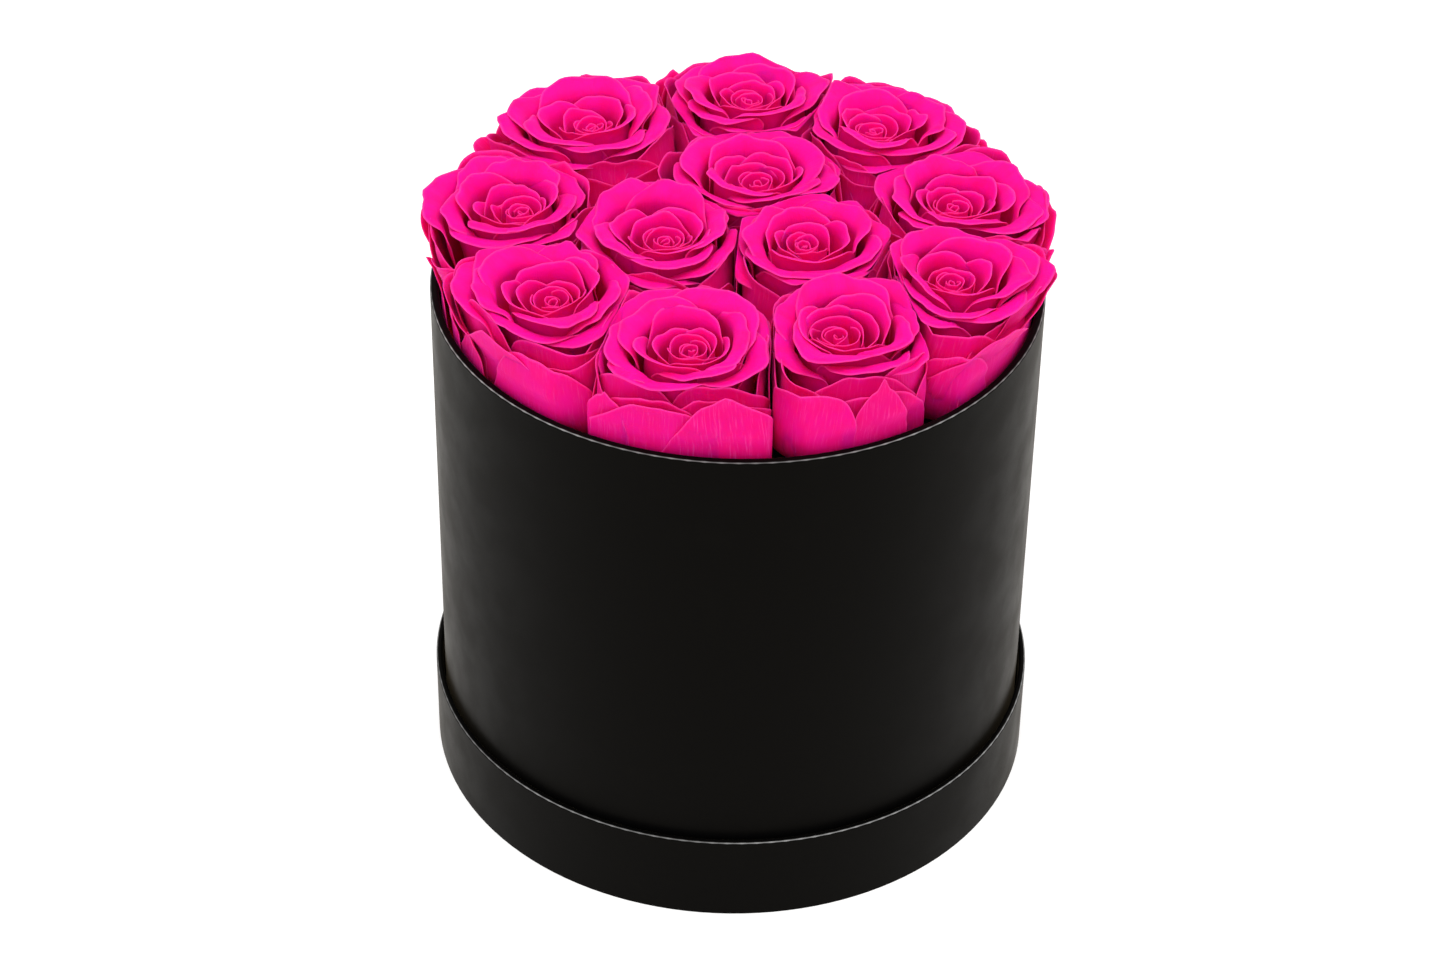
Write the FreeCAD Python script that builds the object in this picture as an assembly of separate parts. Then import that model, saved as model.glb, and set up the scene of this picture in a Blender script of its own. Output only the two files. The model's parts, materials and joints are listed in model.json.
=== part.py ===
"""Round flower box: a black paper-covered board box of rose heads, standing in its own upturned lid.

Millimetres, +Z up. The origin is the centre of the lid's panel, on the table. Each function makes one
separate piece, and main() writes every piece to parts/NODE.step.
"""

import FreeCAD
import Part
import math
import os

# Driving dimensions
BOX_RADIUS = 100.0
TOTAL_HEIGHT = 187.0
LID_RADIUS = 103.0
LID_HEIGHT = 32.0
ROSE_RADIUS = 26.0
EYE_HEIGHT = 210.0

# Boards and papers
PAPER = 0.3
LID_RIM_BOARD = 1.6
LID_PANEL_BOARD = 2.0
TUBE_BOARD = 2.2
BASE_BOARD = 2.5
EDGE_ROUND = 0.6
LID_TURN_IN = 12.0
BOX_TURN_IN = 15.0
BOX_TURN_UNDER = 14.0
SEAM_WIDTH = 12.0

# Filling: a card support ring and its platform carry a foam block that holds the picks
SUPPORT_RADIUS = 80.0
SUPPORT_BOARD = 3.0
PLATFORM_BOARD = 3.0
PLATFORM_GAP = 0.7
FOAM_TOP = 135.0
FOAM_HEIGHT = 65.0
FOAM_GAP = 1.2

# One rose, along its own axis: 0 is the eye of the flower and negative is down its stem
BOWL_LEVEL = -17.0
DOME_TOP = 3.0
DOME_RADIUS = 33.0
SEPAL_THICKNESS = 1.0
SEPAL_TOP = -35.0
SEPAL_NOTCH_FOOT = -41.5
SEPAL_COUNT = 5
RECEPTACLE_RADIUS = 7.0
RECEPTACLE_FOOT = -57.0
STEM_RADIUS = 3.0
STEM_FOOT = -73.0
PICK_RADIUS = 1.5
PICK_TOP = -61.0
PICK_TIP_LENGTH = 7.0
PICK_FOOT = -120.0
BORE_CLEARANCE = 0.05
BORE_END_ROOM = 0.5
CELL_GAP = 0.5
CELL_REACH = 60.0

# Where the roses stand: azimuth in degrees, distance from the middle, and how far the stem leans out
RING_LEAN = 8.0
ROSES = {
    "rose_01": (132.0, 74.0, RING_LEAN),
    "rose_02": (88.0, 74.0, RING_LEAN),
    "rose_03": (50.0, 72.0, RING_LEAN),
    "rose_04": (10.0, 71.0, RING_LEAN),
    "rose_05": (-25.0, 74.0, RING_LEAN),
    "rose_06": (-60.0, 71.0, RING_LEAN),
    "rose_07": (-101.0, 73.0, RING_LEAN),
    "rose_08": (-143.0, 73.0, RING_LEAN),
    "rose_09": (176.0, 73.5, RING_LEAN),
    "rose_10": (72.0, 26.0, 0.0),
    "rose_11": (204.0, 27.0, 0.0),
    "rose_12": (-33.0, 25.0, 0.0),
}

# Worked out from the above
LID_RIM_OUTER = LID_RADIUS - PAPER
LID_RIM_INNER = LID_RIM_OUTER - LID_RIM_BOARD
LID_FLOOR = PAPER + LID_PANEL_BOARD + PAPER
BOX_FOOT = LID_FLOOR
TUBE_OUTER = BOX_RADIUS - PAPER
TUBE_INNER = TUBE_OUTER - TUBE_BOARD
TUBE_FOOT = BOX_FOOT + PAPER
WELL_RADIUS = TUBE_INNER - PAPER
BOX_FLOOR = TUBE_FOOT + BASE_BOARD + PAPER
FOAM_FOOT = FOAM_TOP - FOAM_HEIGHT
PLATFORM_FOOT = FOAM_FOOT - PLATFORM_BOARD
MM3_IN_CM3 = 1000


def at(x, y, z):
    return FreeCAD.Vector(x, y, z)


def disc(radius, low, high):
    return Part.makeCylinder(radius, high - low, at(0, 0, low))


def ring(inner, outer, low, high, top_round=0.0):
    """A tube wall from low to high, with both of its top edges rounded by top_round."""
    if not top_round:
        return disc(outer, low, high).cut(disc(inner, low, high))
    r = top_round
    bulge = r * (1 - math.sqrt(0.5))
    outer_arc = Part.Arc(at(outer, 0, high - r), at(outer - bulge, 0, high - bulge), at(outer - r, 0, high))
    inner_arc = Part.Arc(at(inner + r, 0, high), at(inner + bulge, 0, high - bulge), at(inner, 0, high - r))
    outline = Part.Wire(
        [
            Part.LineSegment(at(inner, 0, low), at(outer, 0, low)).toShape(),
            Part.LineSegment(at(outer, 0, low), at(outer, 0, high - r)).toShape(),
            outer_arc.toShape(),
            Part.LineSegment(at(outer - r, 0, high), at(inner + r, 0, high)).toShape(),
            inner_arc.toShape(),
            Part.LineSegment(at(inner, 0, high - r), at(inner, 0, low)).toShape(),
        ]
    )
    return Part.Face(outline).revolve(at(0, 0, 0), at(0, 0, 1), 360)


def wrap(inner, outer, low, high, turn_in):
    """Paper up the outside of a board wall, over its rounded rim and turn_in down the inside."""
    board = ring(inner, outer, low - PAPER, high - PAPER, EDGE_ROUND)
    skin = ring(inner - PAPER, outer + PAPER, low, high, EDGE_ROUND + PAPER)
    bare_inside = disc(inner, low - PAPER, high - turn_in)
    return skin.cut(board).cut(bare_inside)


def seam(radius, low, high):
    """The strip at the back where the end of a wrap laps over its start."""
    strip = ring(radius, radius + PAPER, low, high)
    window = Part.makeBox(SEAM_WIDTH, 2 * PAPER + radius, high - low, at(-SEAM_WIDTH / 2, 0, low))
    return strip.common(window)


def lining(radius, low, high):
    """A paper cup: a round sheet on the floor and a strip up the wall."""
    return disc(radius, low, high).cut(disc(radius - PAPER, low + PAPER, high))


# The lid, upturned under the box


def lid_panel_sheet():
    return disc(LID_RADIUS, 0, PAPER)


def lid_panel_board():
    return disc(LID_RIM_INNER, PAPER, PAPER + LID_PANEL_BOARD)


def lid_rim_board():
    return ring(LID_RIM_INNER, LID_RIM_OUTER, PAPER, LID_HEIGHT - PAPER, EDGE_ROUND)


def lid_side_wrap():
    skin = wrap(LID_RIM_INNER, LID_RIM_OUTER, PAPER, LID_HEIGHT, LID_TURN_IN)
    return skin.fuse(seam(LID_RADIUS, PAPER, LID_HEIGHT - 2 * EDGE_ROUND)).removeSplitter()


def lid_lining():
    return lining(LID_RIM_INNER, LID_FLOOR - PAPER, LID_HEIGHT - LID_TURN_IN)


# The box


def box_bottom_sheet():
    return disc(BOX_RADIUS - BOX_TURN_UNDER, BOX_FOOT, TUBE_FOOT)


def box_base_board():
    return disc(TUBE_INNER, TUBE_FOOT, TUBE_FOOT + BASE_BOARD)


def box_tube_board():
    return ring(TUBE_INNER, TUBE_OUTER, TUBE_FOOT, TOTAL_HEIGHT - PAPER, EDGE_ROUND)


def box_side_wrap():
    skin = wrap(TUBE_INNER, TUBE_OUTER, TUBE_FOOT, TOTAL_HEIGHT, BOX_TURN_IN)
    turned_under = ring(BOX_RADIUS - BOX_TURN_UNDER, BOX_RADIUS, BOX_FOOT, TUBE_FOOT)
    lap = seam(BOX_RADIUS, BOX_FOOT, TOTAL_HEIGHT - 2 * EDGE_ROUND)
    return skin.fuse([turned_under, lap]).removeSplitter()


def box_lining():
    return lining(TUBE_INNER, BOX_FLOOR - PAPER, TOTAL_HEIGHT - BOX_TURN_IN)


# The filling


def support_ring():
    return ring(SUPPORT_RADIUS - SUPPORT_BOARD, SUPPORT_RADIUS, BOX_FLOOR, PLATFORM_FOOT)


def platform():
    return disc(WELL_RADIUS - PLATFORM_GAP, PLATFORM_FOOT, FOAM_FOOT)


def foam_block():
    """The foam, with one blind hole along each rose's axis."""
    block = disc(WELL_RADIUS - FOAM_GAP, FOAM_FOOT, FOAM_TOP)
    bore = pick_shape(BORE_CLEARANCE, BORE_END_ROOM)
    return block.cut([placed(bore, name) for name in ROSES])


# A rose, made upright with its eye at the origin and then put in place


def head_shape():
    """The outer shape of the petals: a round bowl under a flatter dome, cut flat on the receptacle."""
    bowl = Part.makeSphere(ROSE_RADIUS, at(0, 0, BOWL_LEVEL))
    dome = Part.makeSphere(DOME_RADIUS, at(0, 0, DOME_TOP - DOME_RADIUS))
    foot = BOWL_LEVEL - math.sqrt(ROSE_RADIUS**2 - RECEPTACLE_RADIUS**2)
    return bowl.common(dome).cut(disc(ROSE_RADIUS, foot - ROSE_RADIUS, foot))


def notch(turn):
    """The V of open space between two sepals."""
    reach = ROSE_RADIUS + 2 * SEPAL_THICKNESS
    top = SEPAL_TOP + SEPAL_THICKNESS
    half_width = reach * math.tan(math.pi / SEPAL_COUNT)
    corners = [at(0, 0, SEPAL_NOTCH_FOOT), at(0, half_width, top), at(0, -half_width, top)]
    wedge = Part.Face(Part.makePolygon(corners + corners[:1])).extrude(at(reach, 0, 0))
    wedge.rotate(at(0, 0, 0), at(0, 0, 1), turn)
    return wedge


def calyx_shape():
    """Sepals against the petals, the receptacle under them and the stub of stem, drilled for the pick."""
    sepals = Part.makeSphere(ROSE_RADIUS + SEPAL_THICKNESS, at(0, 0, BOWL_LEVEL))
    sepals = sepals.cut(disc(2 * ROSE_RADIUS, SEPAL_TOP, BOWL_LEVEL + 2 * ROSE_RADIUS))
    sepals = sepals.cut([notch(360 / SEPAL_COUNT * k) for k in range(SEPAL_COUNT)])
    hip = Part.makeSphere(RECEPTACLE_RADIUS, at(0, 0, RECEPTACLE_FOOT + RECEPTACLE_RADIUS))
    stem = disc(STEM_RADIUS, STEM_FOOT, RECEPTACLE_FOOT + RECEPTACLE_RADIUS)
    return sepals.fuse([hip, stem]).cut([head_shape(), pick_shape()]).removeSplitter()


def pick_shape(clearance=0.0, end_room=0.0):
    """A wooden pick, pointed at its foot. With clearance and end_room it is its hole in the foam."""
    radius = PICK_RADIUS + clearance
    foot = PICK_FOOT - end_room
    shoulder = foot + PICK_TIP_LENGTH
    shaft = disc(radius, shoulder, PICK_TOP)
    return shaft.fuse(Part.makeCone(0, radius, PICK_TIP_LENGTH, at(0, 0, foot)))


def eye_of(name):
    azimuth, distance, _ = ROSES[name]
    turn = math.radians(azimuth)
    return at(distance * math.cos(turn), distance * math.sin(turn), EYE_HEIGHT)


def axis_of(name):
    azimuth, _, lean = ROSES[name]
    turn, tilt = math.radians(azimuth), math.radians(lean)
    return at(math.sin(tilt) * math.cos(turn), math.sin(tilt) * math.sin(turn), math.cos(tilt))


def placed(shape, name):
    """A copy of an upright shape, leaning and standing as that rose does."""
    copy = shape.copy()
    copy.Placement = FreeCAD.Placement(eye_of(name), FreeCAD.Rotation(at(0, 0, 1), axis_of(name)))
    return copy


def clipped(polygon, point, normal):
    """The part of a flat polygon that lies behind a line through point."""
    kept = []
    for start, end in zip(polygon, polygon[1:] + polygon[:1]):
        before, after = (start - point).dot(normal), (end - point).dot(normal)
        if before <= 0:
            kept.append(start)
        if before * after < 0:
            kept.append(start + (end - start) * (before / (before - after)))
    return kept


def cell(name):
    """The upright prism of room that a rose has among its neighbours."""
    here = eye_of(name)
    here.z = 0
    corners = [(-1, -1), (1, -1), (1, 1), (-1, 1)]
    polygon = [here + at(x * CELL_REACH, y * CELL_REACH, 0) for x, y in corners]
    for other in ROSES:
        there = eye_of(other)
        there.z = 0
        away = there - here
        if other != name and away.Length < 2 * ROSE_RADIUS + CELL_GAP:
            normal = away / away.Length
            polygon = clipped(polygon, (here + there) / 2 - normal * (CELL_GAP / 2), normal)
    base = Part.Face(Part.makePolygon(polygon + polygon[:1]))
    return base.extrude(at(0, 0, EYE_HEIGHT + CELL_REACH))


def rose_pieces(name):
    room = cell(name)
    return {
        name + "_head": placed(head_shape(), name).common(room),
        name + "_calyx": placed(calyx_shape(), name).common(room),
        name + "_pick": placed(pick_shape(), name),
    }


def main():
    pieces = {
        "lid_panel_sheet": lid_panel_sheet(),
        "lid_panel_board": lid_panel_board(),
        "lid_rim_board": lid_rim_board(),
        "lid_side_wrap": lid_side_wrap(),
        "lid_lining": lid_lining(),
        "box_bottom_sheet": box_bottom_sheet(),
        "box_base_board": box_base_board(),
        "box_tube_board": box_tube_board(),
        "box_side_wrap": box_side_wrap(),
        "box_lining": box_lining(),
        "support_ring": support_ring(),
        "platform": platform(),
        "foam_block": foam_block(),
    }
    for name in ROSES:
        pieces.update(rose_pieces(name))
    os.makedirs("parts", exist_ok=True)
    for node, shape in pieces.items():
        volume = round(shape.Volume / MM3_IN_CM3, 2)
        print(node, "solids", len(shape.Solids), "valid", shape.isValid(), "cm3", volume)
        shape.exportStep("parts/" + node + ".step")


main()
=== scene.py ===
import json
import math

import bpy
import numpy as np
from mathutils import Matrix, Vector


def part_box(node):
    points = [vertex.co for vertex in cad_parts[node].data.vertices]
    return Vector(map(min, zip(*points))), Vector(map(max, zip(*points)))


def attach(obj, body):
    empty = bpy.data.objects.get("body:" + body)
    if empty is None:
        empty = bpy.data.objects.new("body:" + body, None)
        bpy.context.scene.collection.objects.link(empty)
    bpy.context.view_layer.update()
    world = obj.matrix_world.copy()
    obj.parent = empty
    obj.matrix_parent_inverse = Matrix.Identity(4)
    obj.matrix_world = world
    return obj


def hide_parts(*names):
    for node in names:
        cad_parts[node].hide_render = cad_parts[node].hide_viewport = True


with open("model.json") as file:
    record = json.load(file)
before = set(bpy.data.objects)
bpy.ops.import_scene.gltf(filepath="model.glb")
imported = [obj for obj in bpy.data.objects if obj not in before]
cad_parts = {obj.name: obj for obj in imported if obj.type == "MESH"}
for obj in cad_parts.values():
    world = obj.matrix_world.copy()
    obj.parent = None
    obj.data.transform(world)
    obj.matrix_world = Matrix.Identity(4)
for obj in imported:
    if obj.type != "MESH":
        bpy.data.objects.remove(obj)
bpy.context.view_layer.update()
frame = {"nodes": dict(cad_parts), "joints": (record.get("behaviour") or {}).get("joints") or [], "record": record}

MM = 0.001

# The box's rim, the thickness of its lining paper and the radius inside that paper, in mm
RIM_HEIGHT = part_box("box_side_wrap")[1].z / MM
PAPER = 0.3
WELL_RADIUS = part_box("box_lining")[1].x / MM - PAPER

# ---------------------------------------------------------------- camera

# The photo's viewpoint, in metres, and its lens in mm
CAMERA_PLACE = Vector((0.0, -0.99645, 0.87205))
CAMERA_PITCH = math.radians(37.65)
CAMERA_YAW = math.radians(-0.275)
CAMERA_ROLL = math.radians(0.945)
CAMERA_LENS = 92.85
SENSOR_WIDTH = 36.0


def make_camera():
    ahead = Vector(
        (
            math.sin(CAMERA_YAW) * math.cos(CAMERA_PITCH),
            math.cos(CAMERA_YAW) * math.cos(CAMERA_PITCH),
            -math.sin(CAMERA_PITCH),
        )
    )
    level = Vector((math.cos(CAMERA_YAW), -math.sin(CAMERA_YAW), 0.0))
    upright = level.cross(ahead)
    right = math.cos(CAMERA_ROLL) * level + math.sin(CAMERA_ROLL) * upright
    up = math.cos(CAMERA_ROLL) * upright - math.sin(CAMERA_ROLL) * level
    data = bpy.data.cameras.new("camera")
    data.sensor_width = SENSOR_WIDTH
    data.lens = CAMERA_LENS
    camera = bpy.data.objects.new("camera", data)
    turn = Matrix((right, up, -ahead)).transposed().to_4x4()
    camera.matrix_world = Matrix.Translation(CAMERA_PLACE) @ turn
    bpy.context.scene.collection.objects.link(camera)
    bpy.context.scene.camera = camera


# ---------------------------------------------------------------- stage and light

FLOOR_SIZE = 12.0
FLOOR_ALBEDO = (0.55, 0.55, 0.55, 1.0)
FLOOR_GLOW = 0.62
WORLD_COLOUR = (1.0, 0.99, 0.98, 1.0)
WORLD_STRENGTH = 0.75
LIGHT_TARGET = (0.0, 0.0, 0.15)

# Each soft light's name, place and size in metres, and power in watts
LIGHTS = [
    ("overhead", (0.1, -0.1, 1.5), (1.2, 1.0), 12.5),
    ("front", (-0.5, -1.5, 1.3), (1.0, 0.8), 8.0),
]


def area_light(name, place, size, power):
    data = bpy.data.lights.new(name, "AREA")
    data.shape = "RECTANGLE"
    data.size, data.size_y = size
    data.energy = power
    light = bpy.data.objects.new(name, data)
    light.location = place
    light.rotation_mode = "QUATERNION"
    light.rotation_quaternion = (Vector(LIGHT_TARGET) - Vector(place)).to_track_quat("-Z", "Y")
    bpy.context.scene.collection.objects.link(light)


def make_stage():
    half = FLOOR_SIZE / 2
    mesh = bpy.data.meshes.new("floor")
    corners = [(-half, -half, 0), (half, -half, 0), (half, half, 0), (-half, half, 0)]
    mesh.from_pydata(corners, [], [(0, 1, 2, 3)])
    floor = bpy.data.objects.new("floor", mesh)
    bpy.context.scene.collection.objects.link(floor)
    paint = Surface("floor_white", FLOOR_ALBEDO, roughness=0.9)
    paint.set("Specular IOR Level", 0.0)
    paint.set("Emission Color", WORLD_COLOUR)
    paint.set("Emission Strength", FLOOR_GLOW)
    mesh.materials.append(paint.material)

    world = bpy.data.worlds.new("world")
    world.use_nodes = True
    background = world.node_tree.nodes["Background"]
    background.inputs["Color"].default_value = WORLD_COLOUR
    background.inputs["Strength"].default_value = WORLD_STRENGTH
    bpy.context.scene.world = world
    bpy.context.scene.view_settings.view_transform = "Standard"

    for name, place, size, power in LIGHTS:
        area_light(name, place, size, power)


# ---------------------------------------------------------------- material building


class Surface:
    """A Principled material and short ways to add its nodes."""

    def __init__(self, name, colour, roughness):
        self.material = bpy.data.materials.new(name)
        self.material.use_nodes = True
        self.tree = self.material.node_tree
        self.shader = self.tree.nodes["Principled BSDF"]
        self.set("Base Color", colour)
        self.set("Roughness", roughness)

    def set(self, socket, value):
        self.shader.inputs[socket].default_value = value

    def node(self, kind, **values):
        made = self.tree.nodes.new(kind)
        for key, value in values.items():
            setattr(made, key, value)
        return made

    def feed(self, source, target):
        """Links source to target. A number or colour as source is set on the target instead."""
        if isinstance(source, bpy.types.NodeSocket):
            self.tree.links.new(source, target)
        else:
            target.default_value = source

    def place(self, stretch=(1.0, 1.0, 1.0)):
        """The object's own coordinates, in metres, times stretch."""
        coordinates = self.node("ShaderNodeTexCoord").outputs["Object"]
        return self.stretched(coordinates, stretch)

    def stretched(self, vector, stretch):
        mapping = self.node("ShaderNodeMapping")
        mapping.inputs["Scale"].default_value = stretch
        self.feed(vector, mapping.inputs["Vector"])
        return mapping.outputs["Vector"]

    def attribute(self, name, output="Fac"):
        return self.node("ShaderNodeAttribute", attribute_name=name).outputs[output]

    def noise(self, vector, scale, detail=3.0, roughness=0.55):
        made = self.node("ShaderNodeTexNoise")
        made.inputs["Scale"].default_value = scale
        made.inputs["Detail"].default_value = detail
        made.inputs["Roughness"].default_value = roughness
        self.feed(vector, made.inputs["Vector"])
        return made.outputs["Fac"]

    def math(self, operation, first, second=0.0):
        made = self.node("ShaderNodeMath", operation=operation)
        self.feed(first, made.inputs[0])
        self.feed(second, made.inputs[1])
        return made.outputs[0]

    def spread(self, value, low, high, to_low=0.0, to_high=1.0):
        """Value's range from low to high as a smooth step from to_low to to_high."""
        made = self.node("ShaderNodeMapRange", interpolation_type="SMOOTHSTEP")
        self.feed(value, made.inputs["Value"])
        made.inputs["From Min"].default_value = low
        made.inputs["From Max"].default_value = high
        made.inputs["To Min"].default_value = to_low
        made.inputs["To Max"].default_value = to_high
        return made.outputs["Result"]

    def mix(self, share, first, second):
        made = self.node("ShaderNodeMix", data_type="RGBA")
        self.feed(share, made.inputs["Factor"])
        self.feed(first, made.inputs["A"])
        self.feed(second, made.inputs["B"])
        return made.outputs["Result"]

    def bump(self, height, strength, distance):
        made = self.node("ShaderNodeBump")
        made.inputs["Strength"].default_value = strength
        made.inputs["Distance"].default_value = distance
        self.feed(height, made.inputs["Height"])
        self.feed(made.outputs["Normal"], self.shader.inputs["Normal"])

    def colour_from(self, source):
        self.feed(source, self.shader.inputs["Base Color"])

    def roughness_from(self, source):
        self.feed(source, self.shader.inputs["Roughness"])


# ---------------------------------------------------------------- materials

INK_BLACK = (0.0016, 0.0016, 0.0018, 1.0)
WORN_BLACK = (0.0032, 0.003, 0.0027, 1.0)
# Painted highlight: the pale grey of the line along the crest of each wrap's rim rounding
RIM_HIGHLIGHT_GREY = (0.3, 0.3, 0.3, 1.0)
LINING_BLACK = (0.008, 0.008, 0.009, 1.0)
LINING_DARK = (0.006, 0.006, 0.007, 1.0)
LINING_FIBRE = (0.02, 0.02, 0.021, 1.0)
BOARD_GREY = (0.3, 0.28, 0.25, 1.0)
BOARD_DARK = (0.25, 0.235, 0.21, 1.0)
BOARD_PALE = (0.36, 0.34, 0.31, 1.0)
BOARD_FLECK = (0.1, 0.09, 0.085, 1.0)
FOAM_GREEN = (0.03, 0.07, 0.035, 1.0)
FOAM_DARK = (0.006, 0.014, 0.007, 1.0)
FOAM_PALE = (0.022, 0.048, 0.025, 1.0)
SEPAL_GREEN = (0.07, 0.13, 0.035, 1.0)
SEPAL_DARK = (0.045, 0.09, 0.022, 1.0)
SEPAL_PALE = (0.1, 0.17, 0.05, 1.0)
SEPAL_FLUSH = (0.16, 0.05, 0.04, 1.0)
WOOD = (0.55, 0.4, 0.23, 1.0)
WOOD_DARK = (0.4, 0.27, 0.14, 1.0)
WOOD_PALE = (0.66, 0.5, 0.31, 1.0)
PETAL_PINK = (0.88, 0.001, 0.27, 1.0)
# Painted shade: the deep red that petals take toward their feet; random mottle uses it too
PETAL_SHADE_AND_MOTTLE = (0.97, 0.0004, 0.02, 1.0)
# Painted highlight: the paler pink along each petal's margin
PETAL_EDGE_HIGHLIGHT = (1.0, 0.06, 0.38, 1.0)
PETAL_STREAK = (0.88, 0.035, 0.3, 1.0)
GUARD_ROSE = (0.78, 0.002, 0.17, 1.0)

# A painted highlight line lies along the crest of a rim's outer rounding, and fades out within the width below
# from the crest
EDGE_ROUNDING = 0.9 * MM
RIM_HIGHLIGHT_WIDTH = 0.08 * MM
RIM_HIGHLIGHT_CORE = 0.01 * MM

# Strands that run up a part are stretched along it: the scale of their noise across and along
FIBRE_STRETCH = (1.0, 1.0, 0.2)
SEPAL_STRETCH = (1.0, 1.0, 0.12)
GRAIN_STRETCH = (1.0, 1.0, 0.04)

# The same for petals, whose third coordinate is the petal's own number and makes each one different
VEIN_STRETCH = (2.4, 0.12, 9.0)
MOTTLE_STRETCH = (0.16, 0.12, 5.0)

# How much of the guard petals' own colour a faded petal takes, and how high the nap stands beside the veins
GUARD_SHARE = 0.55
NAP_HEIGHT = 0.35


def painted_rim_highlight(paper, node):
    """A mask of up to 1 along the outer rounding of the named wrap's rim, for a painted highlight there, faded in
    patches by noise.
    """
    _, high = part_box(node)
    parts = paper.node("ShaderNodeSeparateXYZ")
    paper.feed(paper.place(), parts.inputs[0])
    x, y, z = parts.outputs
    squares = paper.math("ADD", paper.math("MULTIPLY", x, x), paper.math("MULTIPLY", y, y))
    across = paper.math("SQRT", squares)
    # Radius plus height is greatest halfway round the rounding
    crest = high.x + high.z - EDGE_ROUNDING * (2 - math.sqrt(2))
    near = paper.spread(paper.math("ADD", across, z), low=crest - RIM_HIGHLIGHT_WIDTH, high=crest - RIM_HIGHLIGHT_CORE)
    # Noise fades the painted highlight in patches
    highlight_patches = paper.noise(paper.place(), scale=14.0, detail=2.0)
    return paper.math("MULTIPLY", near, paper.spread(highlight_patches, low=0.3, high=0.6, to_low=0.45))


def cover_paper(node=None):
    """Satin black coated paper: a fine even grain and faint mottle.

    A named node is a wrap that turns over a rim, and gets a painted highlight along its outer rounding there.
    """
    paper = Surface("black_cover_paper", INK_BLACK, roughness=0.42)
    paper.set("Specular IOR Level", 0.03)
    paper.set("Specular Tint", (1.0, 0.86, 0.58, 1.0))
    paper.set("Sheen Weight", 0.045)
    paper.set("Sheen Roughness", 0.3)
    paper.set("Sheen Tint", (1.0, 0.8, 0.5, 1.0))
    grain = paper.noise(paper.place(), scale=2600.0, detail=4.0)
    mottle = paper.noise(paper.place(), scale=60.0, detail=5.0)
    tone = paper.mix(paper.spread(mottle, low=0.52, high=0.78, to_high=0.35), INK_BLACK, WORN_BLACK)
    # Painted highlight: pale grey along the crest of the rim's outer rounding
    if node:
        tone = paper.mix(painted_rim_highlight(paper, node), tone, RIM_HIGHLIGHT_GREY)
    paper.colour_from(tone)
    paper.roughness_from(paper.spread(mottle, low=0.3, high=0.7, to_low=0.36, to_high=0.46))
    paper.bump(grain, strength=0.18, distance=0.06 * MM)
    return paper.material


def lining_paper():
    """Matte black uncoated paper with short fibres."""
    paper = Surface("black_lining_paper", LINING_BLACK, roughness=0.8)
    paper.set("Specular IOR Level", 0.2)
    fibres = paper.noise(paper.place(FIBRE_STRETCH), scale=1800.0, detail=5.0, roughness=0.7)
    paper.colour_from(paper.mix(paper.spread(fibres, low=0.4, high=0.8), LINING_DARK, LINING_FIBRE))
    paper.bump(fibres, strength=0.35, distance=0.08 * MM)
    return paper.material


def greyboard():
    """Recycled grey board: flecks of darker and paler pulp."""
    board = Surface("greyboard", BOARD_GREY, roughness=0.88)
    board.set("Specular IOR Level", 0.2)
    pulp = board.noise(board.place(), scale=700.0, detail=6.0, roughness=0.7)
    flecks = board.noise(board.place(), scale=2400.0, detail=2.0)
    tone = board.mix(board.spread(pulp, low=0.35, high=0.65), BOARD_DARK, BOARD_PALE)
    board.colour_from(board.mix(board.spread(flecks, low=0.66, high=0.74), tone, BOARD_FLECK))
    board.bump(pulp, strength=0.4, distance=0.2 * MM)
    return board.material


def floral_foam():
    """Dry floral foam: dark green, with fine open cells."""
    foam = Surface("floral_foam", FOAM_GREEN, roughness=0.95)
    foam.set("Specular IOR Level", 0.1)
    cells = foam.node("ShaderNodeTexVoronoi")
    cells.inputs["Scale"].default_value = 1500.0
    foam.feed(foam.place(), cells.inputs["Vector"])
    cell = cells.outputs["Distance"]
    foam.colour_from(foam.mix(foam.spread(cell, low=0.1, high=0.6), FOAM_DARK, FOAM_PALE))
    foam.bump(cell, strength=0.7, distance=0.3 * MM)
    return foam.material


def calyx_green():
    """Sepals and stem: muted green with lengthwise fibres and a red flush."""
    green = Surface("calyx_green", SEPAL_GREEN, roughness=0.6)
    fibres = green.noise(green.place(SEPAL_STRETCH), scale=900.0, detail=4.0)
    blotches = green.noise(green.place(), scale=120.0)
    tone = green.mix(green.spread(fibres, low=0.3, high=0.7), SEPAL_DARK, SEPAL_PALE)
    flush = green.spread(blotches, low=0.55, high=0.75, to_high=0.6)
    green.colour_from(green.mix(flush, tone, SEPAL_FLUSH))
    green.bump(fibres, strength=0.5, distance=0.3 * MM)
    return green.material


def pick_wood():
    """A pale sanded wooden pick with straight grain along its length."""
    wood = Surface("pick_wood", WOOD, roughness=0.7)
    grain = wood.noise(wood.place(GRAIN_STRETCH), scale=2200.0, detail=5.0, roughness=0.7)
    wood.colour_from(wood.mix(wood.spread(grain, low=0.3, high=0.7), WOOD_DARK, WOOD_PALE))
    wood.bump(grain, strength=0.5, distance=0.2 * MM)
    return wood.material


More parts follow.
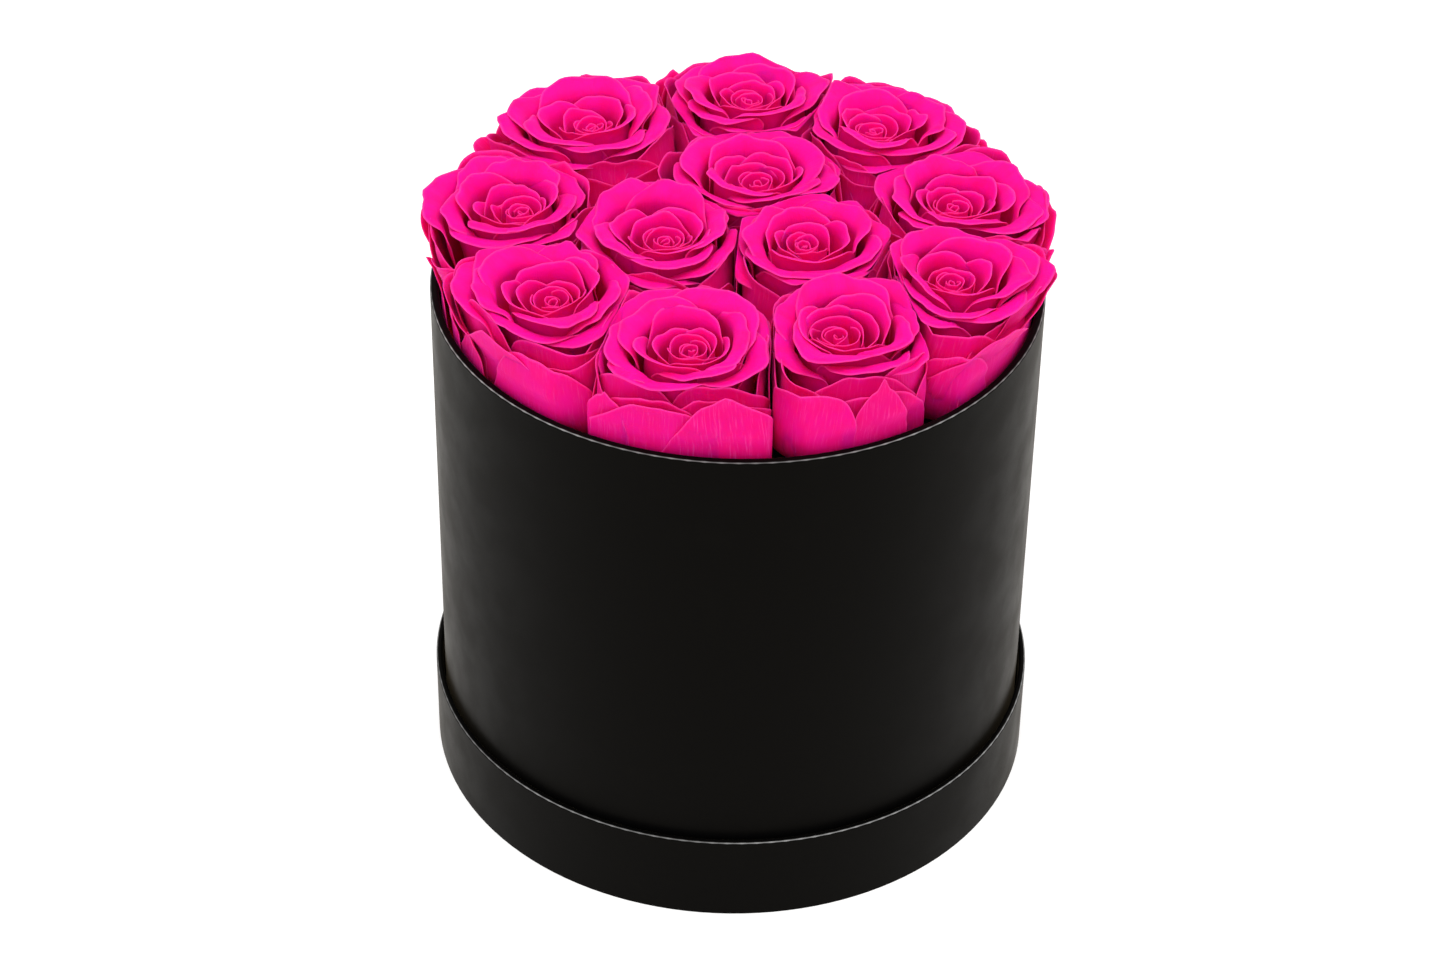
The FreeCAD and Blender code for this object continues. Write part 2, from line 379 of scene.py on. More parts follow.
def petal_velvet():
    """Velvety preserved petals, with painted shade toward each petal's foot and a painted highlight along its
    margin. The mesh says how deep, how near the margin and where each point is.

    petal_place holds (mm across the petal, mm up from its foot, the petal's own number from 0 to 1).
    """
    velvet = Surface("petal_velvet", PETAL_PINK, roughness=0.62)
    velvet.set("Specular IOR Level", 0.06)
    velvet.set("Sheen Weight", 0.1)
    velvet.set("Sheen Roughness", 0.45)
    velvet.set("Sheen Tint", (1.0, 0.1, 0.6, 1.0))
    velvet.set("Subsurface Weight", 0.4)
    velvet.set("Subsurface Radius", (1.0, 0.05, 0.1))
    velvet.set("Subsurface Scale", 1.2 * MM)
    place = velvet.attribute("petal_place", "Vector")
    margin = velvet.attribute("petal_edge_highlight")
    shade_depth = velvet.attribute("petal_painted_shade")
    faded = velvet.attribute("petal_faded")
    veins = velvet.noise(velvet.stretched(place, VEIN_STRETCH), scale=1.0, detail=4.0, roughness=0.6)
    mottle = velvet.noise(velvet.stretched(place, MOTTLE_STRETCH), scale=1.0)
    nap = velvet.noise(velvet.place(), scale=2600.0, detail=2.0)
    # Painted shade: darker red deep in the flower, toward each petal's foot
    base = velvet.mix(velvet.spread(shade_depth, low=0.15, high=0.95), PETAL_PINK, PETAL_SHADE_AND_MOTTLE)
    # Random mottle in the same dark red
    base = velvet.mix(velvet.spread(mottle, low=0.35, high=0.75, to_high=0.3), base, PETAL_SHADE_AND_MOTTLE)
    base = velvet.mix(velvet.math("MULTIPLY", faded, GUARD_SHARE), base, GUARD_ROSE)
    streaks = velvet.math("MULTIPLY", velvet.spread(veins, low=0.5, high=0.8), faded)
    base = velvet.mix(streaks, base, PETAL_STREAK)
    # Painted highlight: paler pink along each petal's margin
    highlight_share = velvet.spread(margin, low=0.5, high=1.0, to_high=0.45)
    velvet.colour_from(velvet.mix(highlight_share, base, PETAL_EDGE_HIGHLIGHT))
    relief = velvet.math("ADD", veins, velvet.math("MULTIPLY", nap, NAP_HEIGHT))
    velvet.bump(relief, strength=0.35, distance=0.35 * MM)
    return velvet.material


def paint_cad_nodes():
    made = {
        "black_cover_paper": cover_paper(),
        "black_lining_paper": lining_paper(),
        "greyboard": greyboard(),
        "floral_foam": floral_foam(),
        "calyx_green": calyx_green(),
        "pick_wood": pick_wood(),
    }
    wraps = {name: cover_paper(name) for name in ("box_side_wrap", "lid_side_wrap")}
    for part in frame["record"]["subparts"]:
        name, slot = part["node"], part["material_slot"]
        if slot in made:
            node = frame["nodes"][name]
            node.data.materials.clear()
            node.data.materials.append(wraps.get(name, made[slot]))


# ---------------------------------------------------------------- petals

# Points across and along each petal, and its thickness in mm
ACROSS = 37
ALONG = 26
PETAL_THICKNESS = 0.32

# Columns crowd toward a petal's sides, and rows toward its lip
SIDE_CROWDING = 0.92 * math.pi / 2
LIP_CROWDING = 0.9

# Points along a petal's midline, below its shoulder and above it
BODY_STEPS = 60
TOP_STEPS = 30

# How fast a petal's random curves run from side to side, how far they are shifted, and how strong they are
OUTLINE_RATE = 3.0
ROLL_RATE, ROLL_CHANGE = 2.2, 0.35
SWELL_RATE, SWELL_SHIFT = 2.5, 0.6
LIFT_RATE, LIFT_SHIFT, LIFT_SHARE = 2.0, 2.0, 0.7

# How fast a petal's dents run along it per mm, across it, and with its number
DENT_RATES = (0.22, 3.0, 9.0)

# Where a petal changes, as shares of its length or of its half width
FULL_WIDTH_AT = 0.55
LATE_FROM = 0.45
SIDE_FROM = 0.72
TIP_WIDTH = 0.13
# The next two: below this share of its length a petal takes painted shade toward its foot, over this span
SHADE_BELOW = 0.93
SHADE_SPAN = 0.6

# How far in from its edge a petal is paler, a painted highlight along its margin, and how far apart the petals are
# in the material's noise, in mm
EDGE_HIGHLIGHT_FADE = 0.45
NUMBER_SPACING = 100.0

# A rose's eye stands this far above the box's rim, in mm
EYE_ABOVE_RIM = 23.0


def smooth(x):
    """A smooth step from 0 to 1 as x goes from 0 to 1."""
    x = np.clip(x, 0.0, 1.0)
    return x * x * (3.0 - 2.0 * x)


class Ripple:
    """A smooth random curve: a few sines whose phases come from the rose's own generator."""

    def __init__(self, rng, waves=(1.3, 2.9, 5.1, 8.3), sizes=(1.0, 0.6, 0.35, 0.18)):
        self.parts = []
        for wave, size in zip(waves, sizes):
            self.parts.append((wave * rng.uniform(0.8, 1.2), size, rng.uniform(0, math.tau)))

    def __call__(self, x):
        return sum(size * np.sin(wave * x + phase) for wave, size, phase in self.parts)


def grid_faces():
    """Faces of one petal: two skins and the rounded margin that joins them."""
    number = np.arange(ACROSS * ALONG).reshape(ALONG, ACROSS)
    corners = [number[:-1, :-1], number[:-1, 1:], number[1:, 1:], number[1:, :-1]]
    quads = np.stack(corners, axis=-1).reshape(-1, 4)
    rim = np.concatenate([number[0, :], number[1:, -1], number[-1, -2::-1], number[-2:0:-1, 0]])
    count = ACROSS * ALONG
    after = np.roll(rim, -1)
    crest = 2 * count + np.arange(len(rim))
    crest_after = np.roll(crest, -1)
    upper = np.stack([after, rim, crest, crest_after], axis=-1)
    lower = np.stack([crest_after, crest, rim + count, after + count], axis=-1)
    return np.concatenate([quads, quads[:, ::-1] + count, upper, lower]), rim


PETAL_FACES, PETAL_RIM = grid_faces()


def unit(v):
    """Vectors of length 1 the same way as those in v."""
    return v / np.maximum(np.linalg.norm(v, axis=-1, keepdims=True), 1e-9)


def middle_profile(p):
    """Distance along the petal's midline, against its angle outward from the stem's direction."""
    t = np.linspace(0.0, 1.0, BODY_STEPS)[:, None]
    start, end = np.array([p["foot_r"], p["foot_z"]]), np.array([p["radius"], p["shoulder"]])
    span = np.linalg.norm(end - start)
    leave = p["full"] * span * np.array([math.sin(p["foot_lean"]), math.cos(p["foot_lean"])])
    arrive = p["full"] * span * np.array([math.sin(p["neck_lean"]), math.cos(p["neck_lean"])])
    h00, h10 = 2 * t**3 - 3 * t**2 + 1, t**3 - 2 * t**2 + t
    h01, h11 = -2 * t**3 + 3 * t**2, t**3 - t**2
    body = h00 * start + h10 * leave + h01 * end + h11 * arrive
    steps = np.diff(body, axis=0)
    length = np.concatenate([[0.0], np.cumsum(np.linalg.norm(steps, axis=1))])
    lean = np.arctan2(steps[:, 0], steps[:, 1])
    lean = np.concatenate([lean, [p["neck_lean"]]])
    above = np.linspace(0.0, 1.0, TOP_STEPS)[1:]
    top = p["neck_lean"] + (p["flare"] - p["neck_lean"]) * smooth(above * p["early"])
    return np.concatenate([length, length[-1] + above * p["top"]]), np.concatenate([lean, top])


def petal_angles(p, u, v, rng):
    """How far up the petal each point is, its angle outward, each column's length and the midline's."""
    distance, lean = middle_profile(p)
    full = distance[-1]
    outline, sway = Ripple(rng), Ripple(rng)
    reach = full * (1.0 - p["cut"] * np.abs(u) ** p["power"])
    reach = reach + p["tip"] * np.exp(-(((u - p["tip_at"]) / TIP_WIDTH) ** 2))
    reach = reach + p["wave"] * outline(u * OUTLINE_RATE)
    s = v * reach
    rolled = smooth(1.0 - (reach - s) / p["lip"]) * (1.0 + ROLL_CHANGE * sway(u * ROLL_RATE))
    angle = np.interp(s, distance, lean) + p["roll"] * rolled
    return s, angle, reach, full, sway


def petal_sheet(p, rng):
    """The petal's middle surface about its own stem, in mm, with what the material needs at each point."""
    u = np.sin(np.linspace(-1.0, 1.0, ACROSS) * SIDE_CROWDING)[None, :] / math.sin(SIDE_CROWDING)
    v = np.linspace(0.0, 1.0, ALONG)[:, None] ** LIP_CROWDING
    s, angle, reach, full, sway = petal_angles(p, u, v, rng)
    swell = Ripple(rng, (0.9, 2.1, 3.7, 5.0))
    step = np.diff(s, axis=0)
    middle = (angle[1:] + angle[:-1]) / 2
    foot = np.zeros((1, ACROSS))
    r = p["foot_r"] + np.concatenate([foot, np.cumsum(np.sin(middle) * step, axis=0)])
    z = p["foot_z"] + np.concatenate([foot, np.cumsum(np.cos(middle) * step, axis=0)])

    grown = smooth(s / (FULL_WIDTH_AT * full))
    late = smooth((s - LATE_FROM * full) / ((1.0 - LATE_FROM) * full))
    side = smooth((np.abs(u) - SIDE_FROM) / (1.0 - SIDE_FROM))
    r = r + grown * (p["flat"] * p["radius"] * u**2 + p["spiral"] * u + p["curl"] * side)
    rate_along, rate_across, rate_number = DENT_RATES
    r = r + grown * p["dent"] * np.sin(s * rate_along + u * rate_across + p["number"] * rate_number)
    r = r + late * p["ripple"] * swell(u * SWELL_RATE + SWELL_SHIFT)
    z = z + late * p["ripple"] * LIFT_SHARE * sway(u * LIFT_RATE + LIFT_SHIFT)
    z = z + p["slant"] * u * smooth(s / full)

    turn = p["turn"] + u * p["half"] * (p["foot_share"] + (1.0 - p["foot_share"]) * grown)
    drift = p["drift"] * smooth(s / full)[..., None]
    place = np.stack([r * np.cos(turn) + drift[..., 0], r * np.sin(turn) + drift[..., 1], z], axis=-1)
    half_width = p["half"] * np.maximum(r, 1.0)
    edge = np.minimum(reach - s, (1.0 - np.abs(u)) * half_width)
    return {
        "place": place,
        "across": u * half_width + p["number"] * NUMBER_SPACING,
        "along": s,
        # Share of the painted highlight along the petal's edge
        "margin": np.exp(-np.maximum(edge, 0.0) / EDGE_HIGHLIGHT_FADE),
        # Share of the painted shade toward the petal's foot
        "shade_depth": smooth((SHADE_BELOW - s / full) / SHADE_SPAN),
    }


def shell(middle, thickness):
    """Two skins and a rounded margin about a middle surface: points in the order that PETAL_FACES wants."""
    along = np.gradient(middle, axis=0)
    across = np.gradient(middle, axis=1)
    half_out = unit(np.cross(across, along)) * thickness / 2
    rim_out = np.zeros_like(middle)
    rim_out[0] -= along[0]
    rim_out[-1] += along[-1]
    rim_out[:, 0] -= unit(across[:, 0])
    rim_out[:, -1] += unit(across[:, -1])
    crest = middle + unit(rim_out) * thickness / 2
    upper, lower, crest = (part.reshape(-1, 3) for part in (middle + half_out, middle - half_out, crest))
    return np.concatenate([upper, lower, crest[PETAL_RIM]])


# A petal's foot, from the heart to where the petal's radius is FOOT_GROWN: how far it is from the stem and up
# from the eye in mm, and how far it leans out in radians
FOOT_GROWN = 22.0
FOOT_OUT = (1.0, 5.5)
FOOT_HEIGHT = (-24.0, -41.0)
FOOT_LEAN = (0.35, 1.25)


def between(ends, share):
    start, end = ends
    return start + (end - start) * share


def layer_values(number, radius, half, rim, top, flare, **own):
    """One petal's sizes: mm, and radians for angles. radius and rim are where the middle of its lip is.

    Each petal gives its own cut, wave, spiral and ripple, and the rose adds turn, over and drift.
    """
    outward = min(radius / FOOT_GROWN, 1.0)
    values = {
        "number": number,
        "half": half,
        "radius": radius,
        "shoulder": rim - top * math.cos(flare * 0.55),
        "foot_r": between(FOOT_OUT, outward),
        "foot_z": between(FOOT_HEIGHT, outward),
        "foot_share": 0.5,
        "foot_lean": between(FOOT_LEAN, outward),
        "neck_lean": -0.12,
        "full": 1.0,
        "top": top,
        "flare": flare,
        "early": 1.0,
        "lip": 2.0,
        "roll": 0.5,
        "power": 3.0,
        "tip": 0.0,
        "tip_at": 0.0,
        "flat": 0.02,
        "curl": 0.2,
        "dent": 0.15,
        "faded": 0.0,
        "slant": 0.0,
        "fill": 0.45,
        "corner_fill": 0.2,
        "wall": None,
    }
    values.update(own)
    return values


# Guard petals: the outermost ones, which hang down the sides of the head
GUARD = {
    "top": 7.0,
    "flare": 0.25,
    "early": 1.2,
    "full": 1.3,
    "roll": 0.35,
    "cut": 0.3,
    "power": 2.4,
    "wave": 0.5,
    "ripple": 0.4,
    "flat": 0.03,
    "spiral": 1.3,
    "faded": 0.8,
    "fill": 0.9,
    "corner_fill": 0.9,
}

# What the wide guard petals by the wall have otherwise
WALL_GUARD = {"full": 1.6, "foot_z": -44.0, "foot_share": 0.85, "ripple": 0.15}

# Two rings of guard petals: how many, and how far out and how high their lips are, in mm
GUARD_RINGS = [(6, 26.5, 0.0), (5, 29.5, -4.5)]
GUARD_HALF = math.radians(46)

HEART_PETALS = 5
GOLDEN_ANGLE = math.radians(137.5)


def by_the_wall(petal, eye, axis):
    """A wall petal's angle and distance from its rose's own stem."""
    a = math.radians(petal["azimuth"])
    world = np.array([petal["out"] * math.cos(a), petal["out"] * math.sin(a), RIM_HEIGHT + petal["top"]])
    x, y, _ = leaning(axis).T @ (world - eye)
    return math.atan2(y, x), math.hypot(x, y)


def rose_layers(rng, style, eye, axis):
    """The petals of one rose from its heart outward."""
    turn = style["turn"]
    heart_at, rim_at = np.array(style["heart_at"]), np.array(style["rim_at"])
    layers = []

    def add(share, **sizes):
        nonlocal turn
        values = layer_values(rng.uniform(), **sizes)
        values["turn"] = turn + rng.uniform(-0.2, 0.2)
        values["over"] = style["over"]
        values["drift"] = heart_at + (rim_at - heart_at) * share + rng.uniform(-0.4, 0.4, 2) * share
        turn += GOLDEN_ANGLE
        layers.append(values)

    heart, heart_top = style["heart"], style["eye"]
    for k in range(HEART_PETALS):
        add(
            0.0,
            radius=heart * (1.2 + 1.3 * k),
            half=math.radians(155 - 13 * k),
            rim=heart_top + 0.35 * k + rng.uniform(-0.3, 0.3),
            top=3.0 + 0.4 * k,
            flare=-0.14 + 0.07 * k,
            lip=0.8,
            roll=0.3,
            cut=0.1,
            foot_r=0.6 + 0.6 * k,
            foot_z=-17.0 - 1.2 * k,
            foot_lean=0.05,
            neck_lean=-0.08,
            spiral=0.45 * heart,
            ripple=0.08,
            dent=0.0,
            wave=0.18,
            slant=rng.uniform(-0.5, 0.5),
        )
    first, last = heart * 7.4, style["cup"]
    cups = style["cups"]
    for k in range(cups):
        f = k / (cups - 1)
        add(
            0.2 + 0.4 * f,
            radius=first + (last - first) * f + rng.uniform(-0.3, 0.3),
            half=math.radians(100 - 22 * f + rng.uniform(-10, 10)),
            rim=heart_top + 1.6 + (4.2 - heart_top) * 0.75 * f + rng.uniform(-0.6, 0.6),
            top=5.0 + 4.0 * f,
            flare=0.15 + style["open"] * f,
            lip=1.4,
            cut=0.14 + 0.12 * rng.uniform(),
            spiral=0.8,
            wave=0.4,
            ripple=0.35,
            curl=rng.uniform(-0.3, 0.9),
            tip=rng.uniform(-0.8, 1.2),
            tip_at=rng.uniform(-0.4, 0.4),
            slant=rng.uniform(-0.9, 0.9),
        )
    outers = style["outers"]
    for k in range(outers):
        f = k / (outers - 1)
        add(
            0.7 + 0.3 * f,
            radius=14.6 + 7.4 * f + rng.uniform(-0.8, 0.8),
            half=math.radians(70 - 12 * f + rng.uniform(-14, 14)),
            rim=6.2 - 4.6 * f + rng.uniform(-0.9, 0.9),
            top=9.0 + 1.5 * f,
            flare=1.1 + 0.18 * f,
            early=1.7,
            full=1.15,
            lip=2.2,
            roll=0.7 + 0.5 * rng.uniform(),
            cut=0.2,
            power=2.8,
            spiral=1.0,
            wave=0.7,
            ripple=0.6,
            flat=0.03,
            curl=rng.uniform(-0.2, 0.9),
            tip=rng.uniform(-1.0, 2.2),
            tip_at=rng.uniform(-0.4, 0.4),
            slant=rng.uniform(-1.8, 1.8),
            faded=0.1,
            fill=style["fill"],
        )
    for count, radius, rim in GUARD_RINGS:
        for k in range(count):
            tip = {"tip": rng.uniform(-0.5, 2.0), "tip_at": rng.uniform(-0.4, 0.4)}
            rim_here = rim + rng.uniform(-1.0, 1.0)
            add(1.0, radius=radius, half=GUARD_HALF, rim=rim_here, **{**GUARD, **tip})
            layers[-1]["turn"] = math.tau * (k + 0.5 * rng.uniform()) / count + style["turn"]
    for petal in style.get("guards", []):
        own_turn, own_radius = by_the_wall(petal, eye, axis)
        half = petal["width"] / 2 / own_radius
        rim = petal["top"] - EYE_ABOVE_RIM
        add(1.0, radius=own_radius, half=half, rim=rim, **{**GUARD, **WALL_GUARD, **petal["shape"]})
        layers[-1]["wall"] = petal["out"] - WALL_SLACK
        layers[-1]["turn"] = own_turn
        layers[-1]["drift"] = np.zeros(2)
    return layers


# ---------------------------------------------------------------- roses in their places

# Petals stay this far from the lining, in mm
WALL_GAP = 0.9

# Petals that don't stand by the wall leave this much room in front of it for the ones that do
GUARD_BAND = 2.6

# A wall petal is packed this much nearer the box's middle than its style says
WALL_SLACK = 1.0

# A petal starts to give this far before the wall or the line between two roses, and its middle surface stops
# SIDE_GAP before the line
GIVE = 1.6
SIDE_GAP = 0.22

# Roses whose eyes are nearer than this press on each other
NEIGHBOUR_REACH = 72.0

# A head is round out to ROUND_HEART. Beyond it, a lip of LAST_LIP is moved to ROUND_LIP and then part of the
# way to the end of the rose's room, within LEAST_ROOM and MOST_ROOM.
ROUND_HEART = 7.0
LAST_LIP = 27.5
ROUND_LIP = 29.0
LEAST_ROOM = 17.0
MOST_ROOM = 36.0
CORNER_SHARPNESS = 5.0

# How much farther out petals may be above the rim than inside the box
TIP_OVERHANG = 8.0

# The share of a leaning head's slant that is taken out, so that the heads make one level cushion
LEVELLING = 0.7

# Heights between which levelling, a rose's own over and the overhang come in, in mm: the first along its stem
# from the eye, the others above the rim
LEVELLED = (-34.0, -8.0)
OVER_BAND = (6.0, 18.0)
OVERHANG = (2.0, 18.0)

# The line between two roses: how far it is turned about its middle in degrees, and moved from the first
# rose in mm
LINES = {
    ("rose_07", "rose_08"): (16.0, 2.0),
    ("rose_07", "rose_06"): (-10.0, 0.0),
    ("rose_06", "rose_05"): (-30.0, 2.0),
    ("rose_01", "rose_02"): (0.0, 1.5),
    ("rose_11", "rose_12"): (0.0, 1.5),
}


def rose_places():
    """Each rose's eye and stem direction in mm, from its joint and its pick."""
    places = {}
    for joint in frame["joints"]:
        name = joint["child"]
        if not name.startswith("rose_"):
            continue
        axis = np.array(joint["axis"], float)
        low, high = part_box(name + "_pick")
        middle = np.array((low + high) / 2) / MM
        eye = middle + axis * ((RIM_HEIGHT + EYE_ABOVE_RIM - middle[2]) / axis[2])
        places[name] = (eye, axis)
    return places


def leaning(axis):
    """The turn that takes +Z to axis, as a 3 by 3 array."""
    return np.array(Vector((0, 0, 1)).rotation_difference(Vector(axis)).to_matrix())


def neighbour_lines(name, places):
    """For each neighbour, a point on the line between the two roses and the direction across it."""
    here = places[name][0][:2]
    lines = []
    for other, (eye, _) in places.items():
        away = eye[:2] - here
        if other == name or np.linalg.norm(away) > NEIGHBOUR_REACH:
            continue
        swing, shift = LINES.get((name, other), (0.0, 0.0))
        if (other, name) in LINES:
            swing, shift = LINES[(other, name)]
            shift = -shift
        angle = math.atan2(away[1], away[0]) + math.radians(swing)
        middle = here + away / 2 + shift * away / np.linalg.norm(away)
        lines.append((middle, np.array([math.cos(angle), math.sin(angle)])))
    return lines


def rise(height, band):
    """A smooth step from 0 to 1 as height goes through the band."""
    start, end = band
    return smooth((height - start) / (end - start))


def pressed(distance, gap):
    """How far a point stays from a plane that it is pressed against: never less than gap."""
    span = GIVE - gap
    near = gap + span * np.exp((np.minimum(distance, GIVE) - GIVE) / span)
    return np.where(distance < GIVE, near, distance)


def room_around(stem, toward, lines, inside):
    """How far the neighbours and the wall are from the stem in each direction, rounded off at the corners."""
    along = (stem * toward).sum(axis=-1)
    wall = np.sqrt(along**2 + inside**2 - (stem**2).sum(axis=-1)) - along
    total = np.maximum(wall, 1.0) ** -CORNER_SHARPNESS
    for middle, normal in lines:
        distance = np.maximum((middle - stem) @ normal, 1.0)
        total = total + (np.maximum(toward @ normal, 0.0) / distance) ** CORNER_SHARPNESS
    return total ** (-1.0 / CORNER_SHARPNESS)


def packed_in(place, name, places, p):
    """Puts a petal of the named rose in the box, shaped to the rose's room and clear of neighbours and wall.

    A petal with a wall distance hugs the wall at that distance. The others follow the outline of the room.
    """
    eye, axis = places[name]
    points = place @ leaning(axis).T + eye
    lines = neighbour_lines(name, places)
    slope = axis[:2] / axis[2]
    stem = eye[:2] + slope * (points[..., 2:] - eye[2])
    points[..., 2] += LEVELLING * rise(place[..., 2], LEVELLED) * ((points[..., :2] - stem) @ slope)
    above_rim = points[..., 2] - RIM_HEIGHT
    offset = points[..., :2] - stem
    out = np.linalg.norm(offset, axis=-1, keepdims=True)
    toward = offset / np.maximum(out, 0.01)
    inside = WELL_RADIUS - WALL_GAP
    if p["wall"]:
        last, target = p["radius"], room_around(stem, toward, [], p["wall"])
    else:
        inside = inside - GUARD_BAND + p["over"] * rise(above_rim, OVER_BAND)
        last, room = LAST_LIP, room_around(stem, toward, lines, inside)
        fill = np.where(room < ROUND_LIP, p["fill"], p["corner_fill"])
        target = ROUND_LIP + fill * (room - ROUND_LIP)
    share = smooth((out - ROUND_HEART) / (last - ROUND_HEART))
    target = np.clip(target, LEAST_ROOM, MOST_ROOM)[..., None]
    points[..., :2] = stem + toward * (out + share * (target - last))
    for middle, normal in lines:
        distance = (middle - points[..., :2]) @ normal
        kept = pressed(distance, SIDE_GAP)
        points[..., :2] -= (kept - distance)[..., None] * normal
    r = np.linalg.norm(points[..., :2], axis=-1)
    most = inside + TIP_OVERHANG * rise(above_rim, OVERHANG)
    kept = pressed(most - r, 0.0)
    points[..., :2] *= ((most - kept) / np.maximum(r, 1.0))[..., None]
    return points


def mesh_object(name, points, faces, attributes):
    mesh = bpy.data.meshes.new(name)
    mesh.from_pydata((points * MM).tolist(), [], faces.tolist())
    for key, values in attributes.items():
        kind, field = ("FLOAT_VECTOR", "vector") if values.ndim == 2 else ("FLOAT", "value")
        layer = mesh.attributes.new(key, kind, "POINT")
        layer.data.foreach_set(field, values.astype(np.float32).ravel())
    mesh.shade_smooth()
    made = bpy.data.objects.new(name, mesh)
    bpy.context.scene.collection.objects.link(made)
    return made


def on_shell(values):
    """What a sheet has at each point, for its upper skin, its lower skin and its margin."""
    values = values.reshape(-1)
    return np.concatenate([values, values, values[PETAL_RIM]])


def build_petals(name, layers, places, rng):
    points, faces = [], []
    painted = {"petal_place": [], "petal_edge_highlight": [], "petal_painted_shade": [], "petal_faded": []}
    for p in layers:
        sheet = petal_sheet(p, rng)
        made = shell(packed_in(sheet["place"], name, places, p), PETAL_THICKNESS)
        faces.append(PETAL_FACES + len(made) * len(points))
        points.append(made)
        number = np.full(len(made), p["number"])
        spot = np.stack([on_shell(sheet["across"]), on_shell(sheet["along"]), number], axis=-1)
        painted["petal_place"].append(spot)
        painted["petal_edge_highlight"].append(on_shell(sheet["margin"]))
        painted["petal_painted_shade"].append(on_shell(sheet["shade_depth"]))
        painted["petal_faded"].append(np.full(len(made), p["faded"]))
    attributes = {key: np.concatenate(values) for key, values in painted.items()}
    return mesh_object(name + "_petals", np.concatenate(points), np.concatenate(faces), attributes)


def guard(azimuth, out, top, width, **shape):
    """A petal by the wall, in mm: its middle's azimuth and distance, its top above the rim, and its width."""
    return {"azimuth": azimuth, "out": out, "top": top, "width": width, "shape": shape}


# What a rose has unless its own style says otherwise, in mm and radians. heart is its heart's size beside a
# usual one, eye the height of the heart's tips, cup the radius of the last cupped petal and open how far the
# cups lean out. over is how far petals may pass the guard band above the rim, and fill is how much the outer
# ones draw in where there is little room. heart_at and rim_at are how far the heart and the outer petals are
# off the stem.
STYLE = {
    "heart": 1.0,
    "eye": -3.0,
    "cups": 6,
    "cup": 13.6,
    "open": 0.75,
    "outers": 10,
    "over": 5.0,
    "fill": 0.45,
    "heart_at": (0.0, 0.0),
    "rim_at": (0.0, 0.0),
}

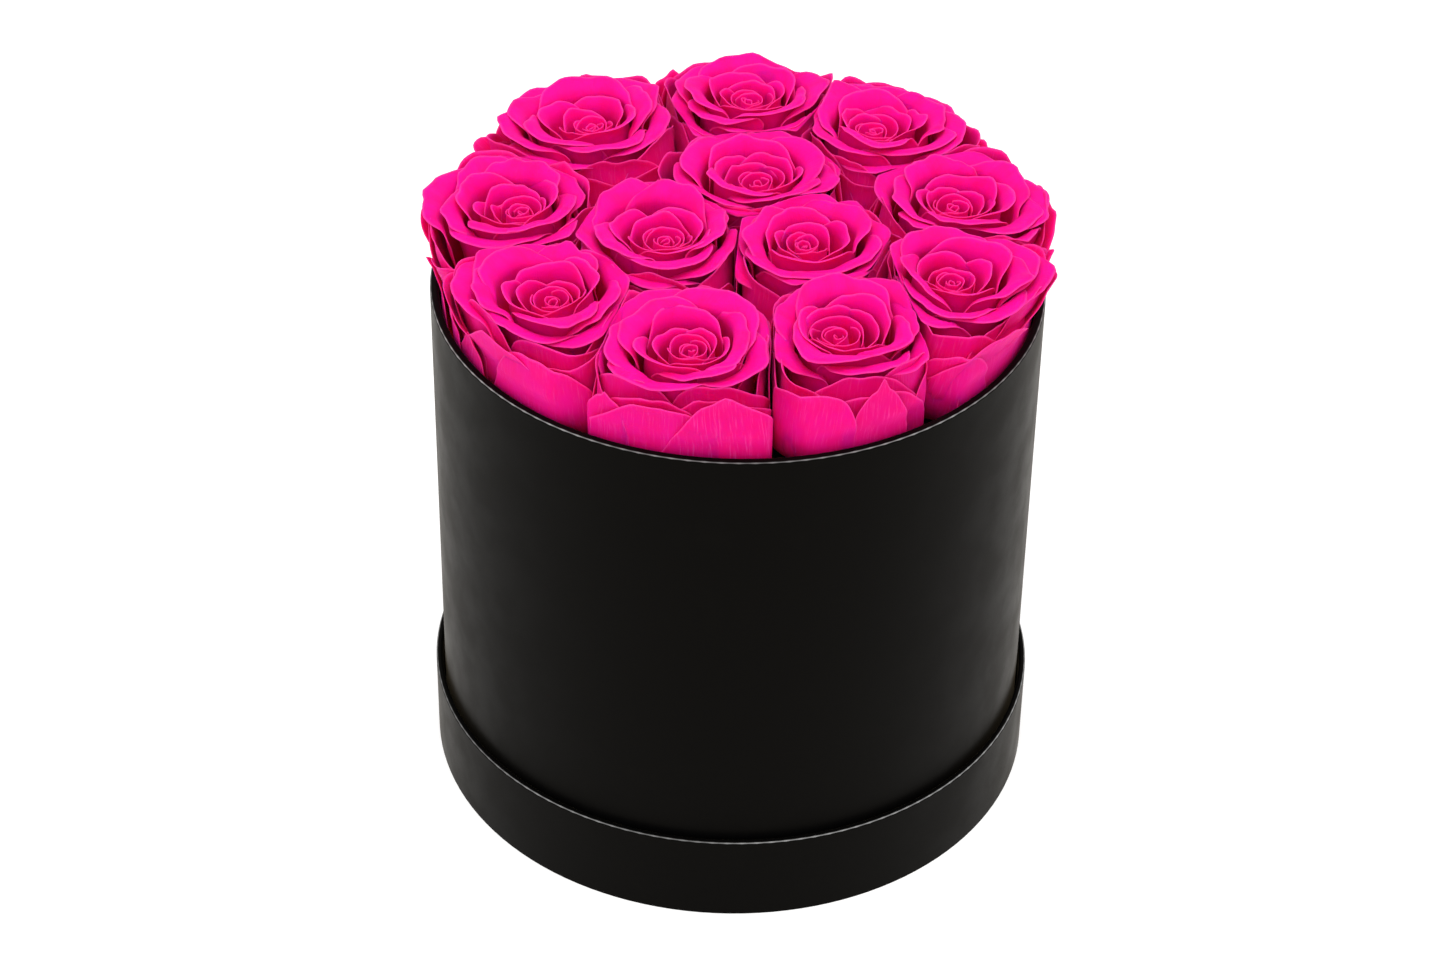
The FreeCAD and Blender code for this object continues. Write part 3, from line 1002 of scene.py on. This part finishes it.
# What differs between the roses, after the rose in each place in the photo
STYLES = {
    "rose_01": {
        "seed": 11,
        "turn": 0.4,
        "heart": 0.95,
        "heart_at": (0, 2),
        "rim_at": (-2.5, 2),
        "guards": [guard(117, 97, 17, 26, tip=3), guard(146, 97, 15, 28, tip=1)],
    },
    "rose_02": {
        "seed": 12,
        "turn": 1.9,
        "heart": 1.2,
        "heart_at": (0, 2),
        "rim_at": (0, -1.5),
        "open": 0.6,
        "over": 2.0,
        "guards": [guard(104, 97, 19, 22, tip=3), guard(75, 97, 15, 24, tip=1.5)],
    },
    "rose_03": {
        "seed": 13,
        "turn": 3.1,
        "heart": 1.25,
        "cup": 12.4,
        "heart_at": (-2, 3),
        "rim_at": (1.0, 2),
        "over": 2.5,
        "guards": [guard(63, 97, 15, 24, tip=2), guard(36, 97, 12, 28, tip=2, flare=0.3)],
    },
    "rose_04": {
        "seed": 14,
        "turn": 0.9,
        "heart": 1.15,
        "rim_at": (2.5, 1),
        "guards": [guard(24, 97, 15, 26, tip=1.5), guard(-1, 99, 13, 26, tip=3, flare=0.6)],
    },
    "rose_05": {
        "seed": 15,
        "turn": 2.2,
        "heart": 1.0,
        "heart_at": (0.5, 1),
        "rim_at": (2, 1.5),
        "guards": [
            guard(-46, 98.4, 18, 40, slant=1.5, tip=1),
            guard(-31, 97, 20, 28, cut=0.12, power=4.0),
            guard(-21, 98, 18, 14, tip=2, curl=1.5),
            guard(-9, 98.6, 17, 20, tip=4, flare=0.5),
        ],
    },
    "rose_06": {
        "seed": 16,
        "turn": 4.4,
        "heart": 1.3,
        "open": 0.55,
        "over": 0.5,
        "heart_at": (-4.5, 1),
        "rim_at": (1, 1.5),
        "guards": [
            guard(-78, 97.4, 23, 40, cut=0.25, power=3.0, flare=0.5),
            guard(-63, 98.8, 20, 20, tip=5, flare=0.1, faded=1.3),
        ],
    },
    "rose_07": {
        "seed": 17,
        "turn": 5.0,
        "heart": 0.95,
        "eye": -2.4,
        "over": 0.5,
        "fill": 0.3,
        "heart_at": (0, 1.5),
        "rim_at": (-2, 2),
        "guards": [
            guard(-114, 97, 16, 18, tip=3),
            guard(-104, 98, 18, 34, slant=1, cut=0.2, flare=0.4, spiral=0.2),
            guard(
                -92, 99.2, 23, 44, slant=1.5, tip=2, cut=0.4, power=1.7, roll=0.6, spiral=-0.8, faded=1.1
            ),
        ],
    },
    "rose_08": {
        "seed": 18,
        "turn": 1.2,
        "heart": 1.2,
        "eye": -3.4,
        "open": 0.6,
        "over": 2.0,
        "heart_at": (1, 0),
        "rim_at": (-1.5, 2),
        "guards": [
            guard(-163, 97.5, 16, 30, tip=2),
            guard(-150, 97, 9, 20, tip=2, faded=1.6),
            guard(-130, 98.6, 19, 46, cut=0.35, power=2.6, flare=-0.05, roll=0.0),
        ],
    },
    "rose_09": {
        "seed": 19,
        "turn": 3.7,
        "heart": 1.05,
        "heart_at": (3, 0),
        "rim_at": (-2.5, 0),
        "over": 3.0,
        "guards": [guard(162, 97, 15, 26, tip=2), guard(-176, 100, 9, 30, tip=4, flare=0.6)],
    },
    "rose_10": {
        "seed": 20,
        "turn": 2.8,
        "heart": 1.3,
        "open": 0.6,
        "heart_at": (-2, 1),
        "rim_at": (-3, 3),
    },
    "rose_11": {
        "seed": 21,
        "turn": 0.1,
        "heart": 1.15,
        "fill": 0.2,
        "heart_at": (1.5, 1),
        "rim_at": (-1.5, 3),
    },
    "rose_12": {
        "seed": 22,
        "turn": 5.7,
        "heart": 0.85,
        "eye": -1.2,
        "fill": 0.2,
        "rim_at": (2.5, 1),
    },
}


def make_roses():
    places = rose_places()
    velvet = petal_velvet()
    for name, own in STYLES.items():
        style = {**STYLE, **own}
        rng = np.random.default_rng(style["seed"])
        layers = rose_layers(rng, style, *places[name])
        petals = build_petals(name, layers, places, rng)
        petals.data.materials.append(velvet)
        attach(petals, name)
        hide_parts(name + "_head")


make_camera()
make_stage()
paint_cad_nodes()
make_roses()
